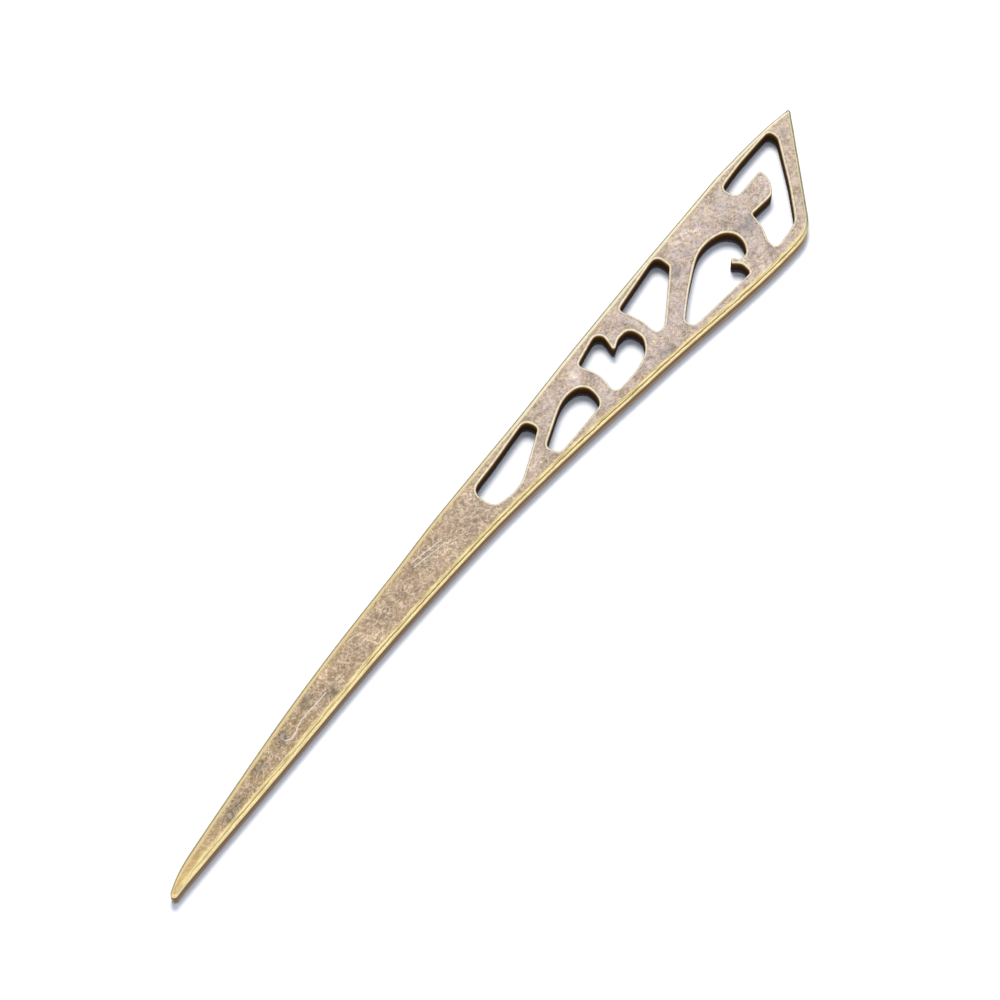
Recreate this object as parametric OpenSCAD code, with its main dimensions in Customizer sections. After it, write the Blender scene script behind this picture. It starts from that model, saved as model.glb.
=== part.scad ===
// Hair stick: one flat cast blade, slim at the tip and flaring to a slanted head,
// with a row of six scroll openings cut through it between two rails.
// Frame: the origin is the middle of the footprint on the plain back, X points from
// the tip to the head's point, Y points to the straight side, and Z is up.

/* [Overall] */
// Length from the tip to the point of the head
length = 130; // [115:1:160]
// Thickness of the blade
thickness = 2.2; // [1.8:0.1:3]

/* [Blade] */
// Width of the shank that goes into the hair
shank_w = 4.6; // [4:0.1:6]
// Width across the head at its corner, before the corner is rounded
head_w = 14.2; // [12:0.1:18]
// Length of the slanted end, from the corner to the point
slant_l = 14.7; // [12:0.1:18]
// Width of the blunt tip
tip_w = 0.8; // [0.4:0.1:1]
// Radius of the head's corner
corner_r = 5; // [2:0.5:6]
// Radius of the head's point
point_r = 0.3; // [0.2:0.1:0.8]

/* [Edges] */
// Width of the bevel round the front face
bevel_w = 0.6; // [0.4:0.05:0.7]
// How far the bevel falls below the front face
bevel_h = 0.3; // [0.15:0.05:0.5]
// Radius where the bevel turns down into the outer wall
brow_r = 0.2; // [0.1:0.05:0.3]
// Radius round the plain back
back_r = 0.2; // [0.1:0.05:0.3]
// Radius round the front rims of the openings
rim_r = 0.2; // [0.1:0.02:0.24]

/* [Piercing] */
// Distance from the head's point back to the first opening
pierced_l = 69; // [60:1:75]
// Width of the rails that the openings leave along both edges
rail_w = 0.9; // [0.7:0.1:1.2]

/* [Hidden] */

BRASS = [0.66, 0.55, 0.40];
PERCENT = 1 / 100;
ARC_STEP = 12;      // degrees between the points of a rounded corner
SPLITS = 3;         // points for each row interval along an edge
RIM_STEPS = 3;      // facets across a rounded rim
OVERRUN = 1;        // how far the cutters reach past the faces
MOST_REACH = 0.48;  // share of a side that one rounded corner may use
MOST_INSET = 0.7;   // share of the half width that the bevel may use

pierced_x = length - pierced_l;

function unit(v) = v / norm(v);

// Sections of the blade from the tip to the head's corner. Columns: place along
// the blade in percent of corner_x; reach of the straight side and of the curved
// side, in percent of shank_w; flare of the curved side, in percent of flare_w.
ALONG = 0;
STRAIGHT = 1;
CURVED = 2;
FLARE = 3;
SECTIONS = [
    [0, 12, 5, 0],
    [1, 21, 4, 0],
    [2, 28, 4.5, 0],
    [3.5, 35, 6, 0],
    [7, 42, 9, 0],
    [13, 52.5, 15.5, 0],
    [22, 66, 24, 0],
    [31, 72, 32, 0],
    [36.5, 72, 32, 3.5],
    [42, 72, 32, 8],
    [47, 74, 32, 12.5],
    [52, 72, 32, 18],
    [57, 69, 32, 25],
    [62.5, 65.5, 32, 33.5],
    [68, 64.5, 32, 43],
    [73, 64, 32, 52.5],
    [78, 61.5, 32, 61.5],
    [83, 59, 32, 71.5],
    [88.5, 55, 32, 83],
    [94, 50, 32, 93],
    [100, 45.5, 32, 100],
];
LAST = len(SECTIONS) - 1;
flare_w = head_w - (SECTIONS[LAST][STRAIGHT] + SECTIONS[LAST][CURVED]) * PERCENT * shank_w;

// Straight side from the corner on, where it runs out to the point in a shallow
// bow. Columns: way from the corner to the point, in percent; reach that is left
// there, in percent of the reach at the corner.
BOW = [
    [0, 100],
    [25, 84],
    [50, 65],
    [75, 40],
    [100, 0],
];
BOW_LAST = len(BOW) - 2;

// Sides of the point as seen from it. Its rounding takes some length away, so the
// sharp point lies that much further out.
function corner_y(side) = side == STRAIGHT
    ? SECTIONS[LAST][STRAIGHT] * PERCENT * shank_w
    : SECTIONS[LAST][STRAIGHT] * PERCENT * shank_w - head_w;
to_straight = unit([
    (BOW[BOW_LAST][0] - 100) * PERCENT * slant_l,
    BOW[BOW_LAST][1] * PERCENT * corner_y(STRAIGHT)
]);
to_curved = unit([-slant_l, corner_y(CURVED)]);
point_half = acos(to_straight * to_curved) / 2;
point_x = length - point_r - unit(to_straight + to_curved).x * point_r / sin(point_half);
corner_x = point_x - slant_l;

// Corners of each opening, taken clockwise or anticlockwise round it. Columns:
// place along the pierced field in percent of pierced_l; place across it in
// percent, from the curved rail (0) to the straight rail (100); corner radius in
// percent of head_w.
BEAN = [
    [0.5, 87, 10],
    [7, 90, 55],
    [17.5, 99, 6.5],
    [17.7, 69, 5.5],
    [5.9, 6.5, 35],
    [0.3, 19, 9],
];
DROP = [
    [15.2, 31, 5],
    [23.8, 67, 50],
    [26.2, 69.5, 50],
    [28.4, 64, 50],
    [29.4, 51, 50],
    [28.9, 29, 50],
    [27.6, 14, 30],
    [15.4, 0, 6.5],
];
HEART = [
    [32, 87.5, 4.5],
    [40.6, 99, 6.5],
    [38.1, 59, 1.7],
    [40.8, 68, 8.5],
    [43.6, 66, 9],
    [43.6, 43, 12],
    [41.4, 25.5, 18],
    [37.5, 15, 39],
    [30.8, 10.5, 5.5],
    [32.9, 49, 26],
];
WEDGE = [
    [59.2, 102, 6.5],
    [58.7, 81, 4],
    [47.4, 32, 6.5],
    [45.5, 33, 5.5],
    [46.4, 65.5, 33],
    [45.6, 94, 4.5],
];
CURL = [
    [56.2, 43.5, 90],
    [62.4, 63.5, 90],
    [64.5, 67.5, 50],
    [67.6, 67.5, 50],
    [70.3, 61.5, 50],
    [71.3, 49, 50],
    [70.3, 34.5, 20],
    [68.6, 26.5, 6.5],
    [66.8, 26.5, 4.5],
    [66.4, 36, 1.4],
    [65.3, 31, 1.4],
    [66.4, 22, 7],
    [65.7, 8, 4],
    [50.5, 5, 5.5],
    [50.2, 18, 5.5],
];
KITE = [
    [77.9, 94, 6.5],
    [84.3, 97, 63.5],
    [93.6, 105, 5.5],
    [93.3, 60, 7],
    [85.9, 17, 63.5],
    [79.3, 11, 15.5],
    [72.4, 6.5, 5.5],
    [73.2, 21, 9],
    [75.2, 33, 24.5],
    [76.4, 51.5, 2.5],
    [82.2, 40, 10],
    [84.7, 48.5, 14],
    [85.4, 67, 2.5],
    [77.9, 75, 7],
];
OPENINGS = [BEAN, DROP, HEART, WEDGE, CURL, KITE];

// Smooth curve through one column of SECTIONS
function slope(i, col) =
    let (a = SECTIONS[max(i - 1, 0)], b = SECTIONS[min(i + 1, LAST)])
    (b[col] - a[col]) / (b[ALONG] - a[ALONG]);
function row_at(share, i = 0) =
    i >= LAST - 1 || share <= SECTIONS[i + 1][ALONG] ? i : row_at(share, i + 1);
function column(share, col) =
    let (
        i = row_at(share),
        a = SECTIONS[i],
        b = SECTIONS[i + 1],
        span = b[ALONG] - a[ALONG],
        t = (share - a[ALONG]) / span
    )
    a[col] * (1 + 2 * t) * (1 - t) ^ 2
    + b[col] * t ^ 2 * (3 - 2 * t)
    + slope(i, col) * span * t * (1 - t) ^ 2
    + slope(i + 1, col) * span * t ^ 2 * (t - 1);

// The two long edges of the blade, and the slanted end beyond the corner
function along_share(x) = x / corner_x / PERCENT;
function from_corner(x) = (x - corner_x) / slant_l;
function straight_y(x) = x > corner_x
    ? corner_y(STRAIGHT) * lookup(from_corner(x) / PERCENT, BOW) * PERCENT
    : column(along_share(x), STRAIGHT) * PERCENT * shank_w;
function curved_y(x) = x > corner_x
    ? corner_y(CURVED) * (1 - from_corner(x))
    : -column(along_share(x), CURVED) * PERCENT * shank_w
      - column(along_share(x), FLARE) * PERCENT * flare_w;

// Corners of the blade as [x, y, radius], anticlockwise from the tip. The curved side
// leaves out the last station, to give the corner's rounding its room.
stations = [
    for (i = [1 : LAST - 1], k = [0 : SPLITS - 1])
    let (a = SECTIONS[i][ALONG], b = SECTIONS[i + 1][ALONG])
    (a + (b - a) * k / SPLITS) * PERCENT * corner_x
];
tip_y = (straight_y(0) + curved_y(0)) / 2;
OUTLINE = [
    [0, tip_y - tip_w / 2, tip_w / 2],
    for (i = [0 : len(stations) - 2]) [stations[i], curved_y(stations[i]), 0],
    [corner_x, corner_y(CURVED), corner_r],
    [point_x, 0, point_r],
    for (i = [BOW_LAST : -1 : 0])
    let (x = corner_x + BOW[i][0] * PERCENT * slant_l)
    [x, straight_y(x), 0],
    for (i = [len(stations) - 1 : -1 : 0]) [stations[i], straight_y(stations[i]), 0],
    [0, tip_y + tip_w / 2, tip_w / 2],
];

// Corners of an opening as [x, y, radius], anticlockwise
function placed(rows) = [
    for (r = rows)
    let (
        x = pierced_x + r[0] * PERCENT * pierced_l,
        low = curved_y(x) + rail_w,
        high = straight_y(x) - rail_w
    )
    [x, low + (high - low) * r[1] * PERCENT, r[2] * PERCENT * head_w]
];
function area(pts) = sum([
    for (i = [0 : len(pts) - 1])
    let (a = pts[i], b = pts[(i + 1) % len(pts)])
    (a.x * b.y - b.x * a.y) / 2
]);
function sum(v, i = 0) = i >= len(v) ? 0 : v[i] + sum(v, i + 1);
function reversed(v) = [for (i = [len(v) - 1 : -1 : 0]) v[i]];
function turned(pts) = area(pts) > 0 ? pts : reversed(pts);

// Half of the blade's width at a place, which limits the bevel on the slim tip
function half_w(x) =
    let (place = min(max(x, tip_w), corner_x))
    (straight_y(place) - curved_y(place)) / 2;

// Outline pushed outwards by d, or inwards where d is negative. Each corner keeps
// its centre of rounding, so its radius grows and shrinks with the push.
function flat(p) = [p[0], p[1]];
function side_normal(a, b) = let (d = unit(flat(b) - flat(a))) [d.y, -d.x];
function bend(a, b, c) = cross(flat(b) - flat(a), flat(c) - flat(b));
function pushed(pts, d) = [
    for (i = [0 : len(pts) - 1])
    let (
        n = len(pts),
        a = pts[(i + n - 1) % n],
        b = pts[i],
        c = pts[(i + 1) % n],
        m = side_normal(a, b),
        k = side_normal(b, c),
        step = d < 0 ? max(d, -MOST_INSET * half_w(b[0])) : d,
        place = flat(b) + (m + k) / (1 + m * k) * step,
        r = b[2] + (bend(a, b, c) > 0 ? step : -step)
    )
    [place.x, place.y, b[2] == 0 ? 0 : max(r, b[2] / 5)]
];

// Points of the rounding at corner b. How many there are depends on the first,
// unpushed corner only, so that rings of one outline always match.
function arc_count(a, b, c) =
    let (
        u = unit(flat(a) - flat(b)),
        v = unit(flat(c) - flat(b))
    )
    max(2, round((180 - acos(u * v)) / ARC_STEP));
function arc(a, b, c, n) =
    let (
        u = unit(flat(a) - flat(b)),
        v = unit(flat(c) - flat(b)),
        half = acos(u * v) / 2,
        side = min(norm(flat(a) - flat(b)), norm(flat(c) - flat(b))),
        reach = min(b[2] / tan(half), MOST_REACH * side),
        r = reach * tan(half),
        centre = flat(b) + unit(u + v) * r / sin(half),
        start = flat(b) + u * reach - centre,
        turn = (180 - 2 * half) * sign(cross(v, u))
    )
    [
        for (k = [0 : n])
        let (w = turn * k / n)
        centre + [start.x * cos(w) - start.y * sin(w), start.x * sin(w) + start.y * cos(w)]
    ];
function ring(base, d) =
    let (n = len(base), pts = pushed(base, d))
    [
        for (i = [0 : n - 1])
        let (before = (i + n - 1) % n, after = (i + 1) % n)
        each base[i][2] == 0
            ? [flat(pts[i])]
            : arc(pts[before], pts[i], pts[after], arc_count(base[before], base[i], base[after]))
    ];

// Faces that close a ring of n points: strips from side to side for the blade, whose
// curved side bends inwards, and one face for an opening
function strips(n) = [
    for (i = [0 : floor(n / 2) - 2]) [i, i + 1, n - 2 - i, n - 1 - i],
    if (n % 2 == 1) [floor(n / 2) - 1, floor(n / 2), floor(n / 2) + 1]
];
function one_face(n) = [[for (i = [0 : n - 1]) i]];

// Solid through rings of equal count, each given as [push, z]
module lofted(base, levels, across = false) {
    rings = [for (s = levels) [for (p = ring(base, s[0])) [p.x, p.y, s[1]]]];
    n = len(rings[0]);
    top = len(levels) - 1;
    cap = across ? strips(n) : one_face(n);
    polyhedron(
        points = [for (r = rings) each r],
        faces = [
            each cap,
            for (k = [0 : top - 1], i = [0 : n - 1])
            let (j = (i + 1) % n)
            [k * n + j, k * n + i, (k + 1) * n + i, (k + 1) * n + j],
            for (face = cap) reversed([for (i = face) top * n + i]),
        ],
        convexity = 10
    );
}

// Levels [push, z] of a rounded edge: sign is 1 where the metal is inside the
// outline and -1 where it is outside, as round an opening
function round_back(r, sign) = [
    for (k = [0 : RIM_STEPS])
    let (w = 90 * k / RIM_STEPS)
    [-sign * r * (1 - sin(w)), r * (1 - cos(w))]
];
function round_front(r, sign) = [
    for (k = [0 : RIM_STEPS])
    let (w = 90 * k / RIM_STEPS)
    [-sign * r * (1 - cos(w)), thickness - r * (1 - sin(w))]
];
function bevel_front() =
    let (fall = atan(bevel_h / (bevel_w - brow_r)))
    [
        for (k = [0 : RIM_STEPS])
        let (w = (90 - fall) * k / RIM_STEPS)
        [-brow_r * (1 - cos(w)), thickness - bevel_h - brow_r * (1 - sin(w))],
        [-bevel_w, thickness],
    ];

module opening(rows) {
    base = turned(placed(rows));
    back = round_back(rim_r, -1);
    front = round_front(rim_r, -1);
    lofted(base, concat([[rim_r, -OVERRUN]], back, front, [[rim_r, thickness + OVERRUN]]));
}

// Middle of the footprint along X (0) or Y (1)
function middle(axis) =
    let (spread = [for (p = ring(OUTLINE, 0)) p[axis]])
    (min(spread) + max(spread)) / 2;

module hair_stick() {
    color(BRASS)
    translate([-middle(0), -middle(1), 0])
    difference() {
        lofted(OUTLINE, concat(round_back(back_r, 1), bevel_front()), across = true);
        for (rows = OPENINGS) opening(rows);
    }
}

hair_stick();
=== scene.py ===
# %% [markdown]
# # A pierced hair stick in antique brass
# The real object is one flat casting: a slim shank that goes into the hair, and a
# head that flares on one side and is pierced with scrolls. The solid comes from the
# part's own source and is loaded here as the frame. This lesson gives it the fine
# edges and the worn metal that the solid doesn't have.

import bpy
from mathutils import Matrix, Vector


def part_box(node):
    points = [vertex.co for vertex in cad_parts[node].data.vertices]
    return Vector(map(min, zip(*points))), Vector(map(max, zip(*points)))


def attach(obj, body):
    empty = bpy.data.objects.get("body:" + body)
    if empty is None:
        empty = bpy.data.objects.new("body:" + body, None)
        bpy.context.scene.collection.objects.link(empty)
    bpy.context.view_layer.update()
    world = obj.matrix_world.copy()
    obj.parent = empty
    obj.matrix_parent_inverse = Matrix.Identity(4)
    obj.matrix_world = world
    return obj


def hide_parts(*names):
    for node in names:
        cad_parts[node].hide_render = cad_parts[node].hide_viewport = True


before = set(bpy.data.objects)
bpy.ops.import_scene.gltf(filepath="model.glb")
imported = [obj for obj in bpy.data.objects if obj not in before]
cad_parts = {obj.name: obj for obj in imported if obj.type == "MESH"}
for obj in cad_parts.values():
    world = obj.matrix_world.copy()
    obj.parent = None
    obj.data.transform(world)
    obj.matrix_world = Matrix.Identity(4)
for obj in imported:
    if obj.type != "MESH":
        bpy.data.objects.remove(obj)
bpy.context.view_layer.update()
print("frame has", list(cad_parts))

# %% [markdown]
# ## Sizes
# The real plate is thin, and its edges are what the mould, the file and the wheel left:
# a small radius round the back, a bevel round the front and a worn rim on each opening.
# They could be picked by eye at each step, but then they wouldn't agree. So they are
# named here once, and the length and the thickness come from the solid.

# %% Sizes
import math

import bmesh
import bpy
import numpy as np
from mathutils import Vector, kdtree, noise
from mathutils.geometry import delaunay_2d_cdt

MM = 0.001
NODE = "hair_stick"
low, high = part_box(NODE)
thickness = high.z - low.z
BACK_R = 0.2 * MM        # rounding round the plain back
BROW_R = 0.3 * MM        # where the bevel turns down into the wall
RIM_R = 0.2 * MM         # worn rim of the openings
BEVEL_W = 0.68 * MM      # bevel round the front
BEVEL_DROP = 0.3 * MM    # from the face down to the corner that the brow rounds
SAME_PLACE = 0.001 * MM
print("stick", [round(side / MM, 2) for side in high - low], "mm")

# %% [markdown]
# ## The outline
# On the real stick every edge runs in a smooth curve, while the solid's curves are
# short flat facets. The outline and the six openings could be drawn again by hand,
# but then they would drift from the solid. So the loops are read from the solid's
# own wall and relaxed like a bent wire: each point moves towards the middle of its
# neighbours, far on a long bow and hardly at all in a tight corner.

# %% Loops of the wall
def wall_loops(node):
    """Loops of the wall's foot as x, y points in mm, with the metal on the left."""
    solid = bmesh.new()
    solid.from_mesh(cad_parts[node].data)
    bmesh.ops.remove_doubles(solid, verts=solid.verts, dist=SAME_PLACE)
    beside = {}
    for edge in solid.edges:
        if all(abs(v.co.z - low.z - BACK_R) < SAME_PLACE for v in edge.verts):
            a, b = edge.verts
            beside.setdefault(a, []).append(b)
            beside.setdefault(b, []).append(a)
    loops = []
    while beside:
        here = next(iter(beside))
        loop = []
        while here in beside:
            loop.append([here.co.x / MM, here.co.y / MM])
            here = next((v for v in beside.pop(here) if v in beside), None)
        loops.append(np.array(loop))
    solid.free()
    loops.sort(key=lambda loop: -abs(signed_area(loop)))
    return [loop if (signed_area(loop) > 0) == (i == 0) else loop[::-1] for i, loop in enumerate(loops)]


def signed_area(loop):
    x, y = loop.T
    return 0.5 * float(np.sum(x * np.roll(y, -1) - np.roll(x, -1) * y))


loops = wall_loops(NODE)
print("loops", [(len(loop), round(signed_area(loop), 1)) for loop in loops])

# %% [markdown]
# ## Relaxing the wire
# The long sides of the real stick are even bows, and its scrolls have small round
# corners. A curve drawn through all the facets would keep their kinks, and an evenly
# smoothed one would lose the corners. So the turning is measured along the wire, and
# each bead is pulled less the more the wire turns there.

# %% Round the facets
BEAD = 0.06          # mm between the points of the wire
ROUNDS = 120         # how often the wire is relaxed
MOST_SPREAD = 0.7    # mm over which a long bow is evened out
WINDOW = 0.8         # mm over which the turning is measured
TURN_SPREAD = 0.22   # mm of spread for one radian of turning per mm
STRAIGHT = 0.01      # radians per mm below which a stretch counts as straight


def unit(vectors):
    return vectors / np.linalg.norm(vectors, axis=-1, keepdims=True)


def sampled(loop, places):
    """Points of the closed loop at these distances along it."""
    closed = np.vstack([loop, loop[:1]])
    along = np.concatenate([[0], np.cumsum(np.linalg.norm(np.diff(closed, axis=0), axis=1))])
    return np.stack([np.interp(places, along, closed[:, axis]) for axis in (0, 1)], axis=1)


def perimeter(loop):
    return float(np.linalg.norm(np.roll(loop, -1, axis=0) - loop, axis=1).sum())


def turning(loop):
    """Radians that the loop turns for each mm, averaged over the window."""
    side = np.roll(loop, -1, axis=0) - loop
    way = unit(side)
    turn = np.arccos(np.clip(np.sum(way * np.roll(way, 1, axis=0), axis=1), -1, 1))
    reach = round(WINDOW / BEAD / 2)
    return sum(np.roll(turn, k) for k in range(-reach, reach + 1)) / WINDOW


print("longest loop", round(perimeter(loops[0]), 1), "mm")

# %% [markdown]
# ## Pulling the beads
# On the real outline a long bow and a tight corner meet without a kink. One pull for
# every bead would blur the corner before the bow is even. So the pull depends on the
# turning, and it is given in many small rounds, as a wire settles.

# %% Relax the wire
def relaxed(loop):
    """The loop as an evenly beaded wire, with its facets evened out."""
    length = perimeter(loop)
    wire = sampled(loop, np.linspace(0, length, round(length / BEAD), endpoint=False))
    spread = np.minimum(MOST_SPREAD, TURN_SPREAD / np.maximum(turning(wire), STRAIGHT))
    pull = np.minimum(spread ** 2 / (ROUNDS * BEAD ** 2), 1.0)[:, None]
    for _ in range(ROUNDS):
        middle = (np.roll(wire, 1, axis=0) + np.roll(wire, -1, axis=0)) / 2
        wire = wire + pull * (middle - wire)
    return wire


for loop in loops[:3]:
    moved = np.abs(relaxed(loop).max(axis=0) - loop.max(axis=0)).max()
    print("length", round(perimeter(loop), 1), "mm, far side moved", round(float(moved), 3), "mm")

# %% [markdown]
# ## Points where the edge turns
# Light shows a corner's flats at once on real metal, but never a long side's. Even
# spacing would either show the flats or waste thousands of points. So each stretch has
# a cost, by its length or by its turning, whichever is more, and the points are set
# out at equal cost.

# %% Choose the points
STEP = 0.3                        # mm between points on a straight stretch
TURN_STEP = math.radians(7.0)     # turning between points on a corner
CORNER_WINDOW = 5                 # beads over which a corner's turning is evened out


def chosen(wire):
    """Fewer points: close together where the wire turns, wider apart where it runs straight."""
    side = np.roll(wire, -1, axis=0) - wire
    way = unit(side)
    turn = np.arccos(np.clip(np.sum(way * np.roll(way, -1, axis=0), axis=1), -1, 1))
    turn = sum(np.roll(turn, k) for k in range(-CORNER_WINDOW // 2, CORNER_WINDOW // 2)) / CORNER_WINDOW
    length = np.linalg.norm(side, axis=1)
    cost = np.concatenate([[0], np.cumsum(np.maximum(length / STEP, turn / TURN_STEP))])
    along = np.concatenate([[0], np.cumsum(length)])
    count = math.ceil(cost[-1])
    return sampled(wire, np.interp(np.arange(count) * cost[-1] / count, cost, along))


loops = [chosen(relaxed(loop)) for loop in loops]
outline, openings = loops[0], loops[1:]
print("points", [len(loop) for loop in loops])

# %% [markdown]
# ## Distance to the edge
# A worn casting is a rule more than a drawing: how high the face lies, and how bright
# it is rubbed, depends on how far a spot is from the nearest edge. So each spot of
# the face learns two distances, to the outline and to the nearest opening. They
# shape the bevel now and colour the metal later.

# %% Distances
def inward_of(loop):
    """Unit normals that point from the loop into the metal, on its left."""
    way = unit(np.roll(loop, -1, axis=0) - np.roll(loop, 1, axis=0))
    return np.stack([-way[:, 1], way[:, 0]], axis=1)


class Border:
    """One or more loops that answer how far a spot lies inside the metal."""

    def __init__(self, loops):
        self.start = np.concatenate(loops)
        self.end = np.concatenate([np.roll(loop, -1, axis=0) for loop in loops])
        self.inward = np.concatenate([inward_of(loop) for loop in loops])
        before = []
        for loop in loops:
            before.extend(len(before) + (np.arange(len(loop)) - 1) % len(loop))
        self.before = np.array(before)
        self.tree = kdtree.KDTree(len(self.start))
        for i, (x, y) in enumerate(self.start):
            self.tree.insert((x, y, 0), i)
        self.tree.balance()

    def gap(self, spots):
        """Signed distance in mm, positive inside the metal."""
        nearest = np.array([self.tree.find((x, y, 0))[1] for x, y in spots])
        best = np.full(len(spots), np.inf)
        for side in (nearest, self.before[nearest]):
            a, b = self.start[side], self.end[side]
            along = np.clip(np.sum((spots - a) * (b - a), axis=1) / np.sum((b - a) ** 2, axis=1), 0, 1)
            best = np.minimum(best, np.linalg.norm(spots - a - (b - a) * along[:, None], axis=1))
        inside = np.sum((spots - self.start[nearest]) * self.inward[nearest], axis=1)
        return np.where(inside >= 0, best, -best)

    def faces(self, spots, way):
        """How far the nearest edge looks that way: 1 straight there, 0 sideways or back."""
        nearest = [self.tree.find((x, y, 0))[1] for x, y in spots]
        return np.clip(-self.inward[nearest] @ np.array(way), 0, 1)


outer = Border([outline])
pierced = Border(openings)
print("gap at the middle of the shank", outer.gap(np.array([[-30.0, 5.0]])).round(2), "mm")

# %% [markdown]
# ## A bevel that isn't perfect
# The bevel of the real stick was dressed by hand. It narrows on the slim tip, where
# two bevels share little metal, and it wanders a little along its length. A gentle
# noise along the stick gives that wander, from a fixed place in the noise so that
# every run is the same.

# %% Width of the bevel
TIP_SHARE = 0.7        # share of the half width that the bevel may use at the tip
WANDER = 0.1           # how much the bevel's width changes along the stick
WANDER_LENGTH = 4.0    # mm from one change to the next
WANDER_PLACE = 7.3     # where in the noise the wander is read
TIP_REACH = (0.8, 60.0)    # mm from the tip between which the blade's width is read


def half_width(x):
    """Half of the blade's width at x, in mm, from the outline's two sides."""
    ahead = np.roll(outline, -1, axis=0)[:, 0] > outline[:, 0]
    near = outline[ahead]
    far = outline[~ahead]
    near = near[np.argsort(near[:, 0])]
    far = far[np.argsort(far[:, 0])]
    return (np.interp(x, far[:, 0], far[:, 1]) - np.interp(x, near[:, 0], near[:, 1])) / 2


def bevel_width(spots):
    tip = low.x / MM
    half = half_width(np.clip(spots[:, 0], tip + TIP_REACH[0], tip + TIP_REACH[1]))
    wander = np.array([noise.noise(Vector((x, y * 2, WANDER_PLACE)) / WANDER_LENGTH) for x, y in spots])
    return np.minimum(BEVEL_W / MM * (1 + WANDER * wander), TIP_SHARE * half)


for place in (1, 5, 20, 60):
    spot = np.array([[low.x / MM + place, 2.0]])
    print("bevel", place, "mm from the tip:", bevel_width(spot).round(2), "mm")

# %% [markdown]
# ## Lips
# No edge of the real stick is sharp: at its lip the metal rolls over into the wall. A
# Bevel modifier could round the edges, but with one radius it would fold over itself
# in the tightest corners. So each point of a loop gets a radius of its own, as large
# as the metal beside it leaves room for.

# %% Lips
TIGHTEST = 0.8      # share of the metal's half width that a rounding may take
GIVE = 0.9          # what a radius shrinks to where it doesn't fit
GIVE_ROUNDS = 30
EVEN_ROUNDS = 4     # how often a radius is evened out with its neighbours
NEARLY = 0.99       # share of its reach that has to be free
BROW_TURN = math.atan2(BEVEL_W - BROW_R, BEVEL_DROP)


def fitting_radius(loop, radius):
    """The rounding's radius at each point, smaller where the metal is too slim for it."""
    fitted = np.full(len(loop), float(radius))
    for _ in range(GIVE_ROUNDS):
        reach = fitted / TIGHTEST
        spots = loop + inward_of(loop) * reach[:, None]
        room = np.minimum(outer.gap(spots), pierced.gap(spots))
        fitted = np.where(room < NEARLY * reach, GIVE * fitted, fitted)
    for _ in range(EVEN_ROUNDS):
        fitted = np.minimum(fitted, (np.roll(fitted, 1) + np.roll(fitted, -1) + fitted) / 3)
    return fitted


def lip(loop, radius, turn):
    """What the tree needs to roll the metal over this loop, and where the rolling starts."""
    fitted = fitting_radius(loop, radius)
    inset = fitted * (1 - math.cos(turn))
    return {
        "foot": loop,
        "inward": inward_of(loop),
        "radius": fitted,
        "turn": np.full(len(loop), turn),
        "back_radius": fitting_radius(loop, BACK_R / MM),
        "place": loop + inward_of(loop) * inset[:, None],
    }


lips = [lip(outline, BROW_R / MM, BROW_TURN)]
lips += [lip(opening, RIM_R / MM, math.pi / 2) for opening in openings]
print("smallest radius on each loop", [round(float(item["radius"].min()), 3) for item in lips], "mm")

# %% [markdown]
# ## Rows beside the edges
# The bevel bends the light within less than a millimetre, and a plain grid would
# leave it jagged. So rows of points follow each edge, close together where the metal
# bends. A row that would cross itself, as at the head's sharp point, drops the points
# that lie nearer to another edge than their row allows.

# %% Rows along the edges
BEVEL_ROWS = (0.25, 0.5, 0.75, 0.92, 1.0, 1.08, 1.3, 1.7)    # shares of the bevel's width
RIM_ROWS = (0.06, 0.15, 0.3)                               # mm past the rim's lip
SLACK = 0.02                                               # mm that a row may be out
CLOSEST = 0.05                                             # mm between any two points
brow_inset = BROW_R / MM * (1 - math.cos(BROW_TURN))
rim_inset = RIM_R / MM


def bevel_rows():
    for share in BEVEL_ROWS:
        inset = brow_inset + share * (bevel_width(outline) - brow_inset)
        row = outline + inward_of(outline) * inset[:, None]
        yield row[(outer.gap(row) > inset - SLACK) & (pierced.gap(row) > rim_inset + CLOSEST)]


def rim_rows():
    for past in RIM_ROWS:
        for item in lips[1:]:
            inset = item["radius"] + past
            row = item["foot"] + item["inward"] * inset[:, None]
            yield row[(pierced.gap(row) > inset - SLACK) & (outer.gap(row) > brow_inset + CLOSEST)]


rows = [*bevel_rows(), *rim_rows()]
print("points in rows", sum(len(row) for row in rows))

# %% [markdown]
# ## A grid for the flats
# The real flats dip and rise a little, as cast metal does, so they need points too. A
# square grid would show its direction in the reflections. A pattern of equal
# triangles has none, and it keeps off the rows so that no sliver lies between them.

# %% Grid on the flats
GRID = 0.34         # mm on the front
BACK_GRID = 0.5     # mm on the back
KEEP_OFF = 1.7      # bevel widths that the grid keeps from the outline
BACK_MARGIN = 0.4   # mm that it keeps from every edge of the back


def grid(step, off_outline, off_openings):
    """Points in a pattern of equal triangles, wherever both distances leave room."""
    columns = np.arange(low.x / MM, high.x / MM, step)
    ranks = np.arange(low.y / MM, high.y / MM, step * math.sqrt(3) / 2)
    x, y = np.meshgrid(columns, ranks)
    x = x + (np.arange(len(ranks)) % 2)[:, None] * step / 2
    points = np.stack([x.ravel(), y.ravel()], axis=1)
    return points[(outer.gap(points) > off_outline) & (pierced.gap(points) > off_openings)]


rows.append(grid(GRID, KEEP_OFF * BEVEL_W / MM, rim_inset + RIM_ROWS[-1]))
print("points on the grid", len(rows[-1]))

# %% [markdown]
# ## Triangles between the points
# The real face is one skin of metal with six openings. Faces joined by hand would take
# days, and a filled outline would have needles from side to side. The triangle finder
# makes the plumpest triangles that the points allow and keeps every border edge. It
# fills the openings as well, so triangles whose middle isn't in the metal are dropped.

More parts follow.
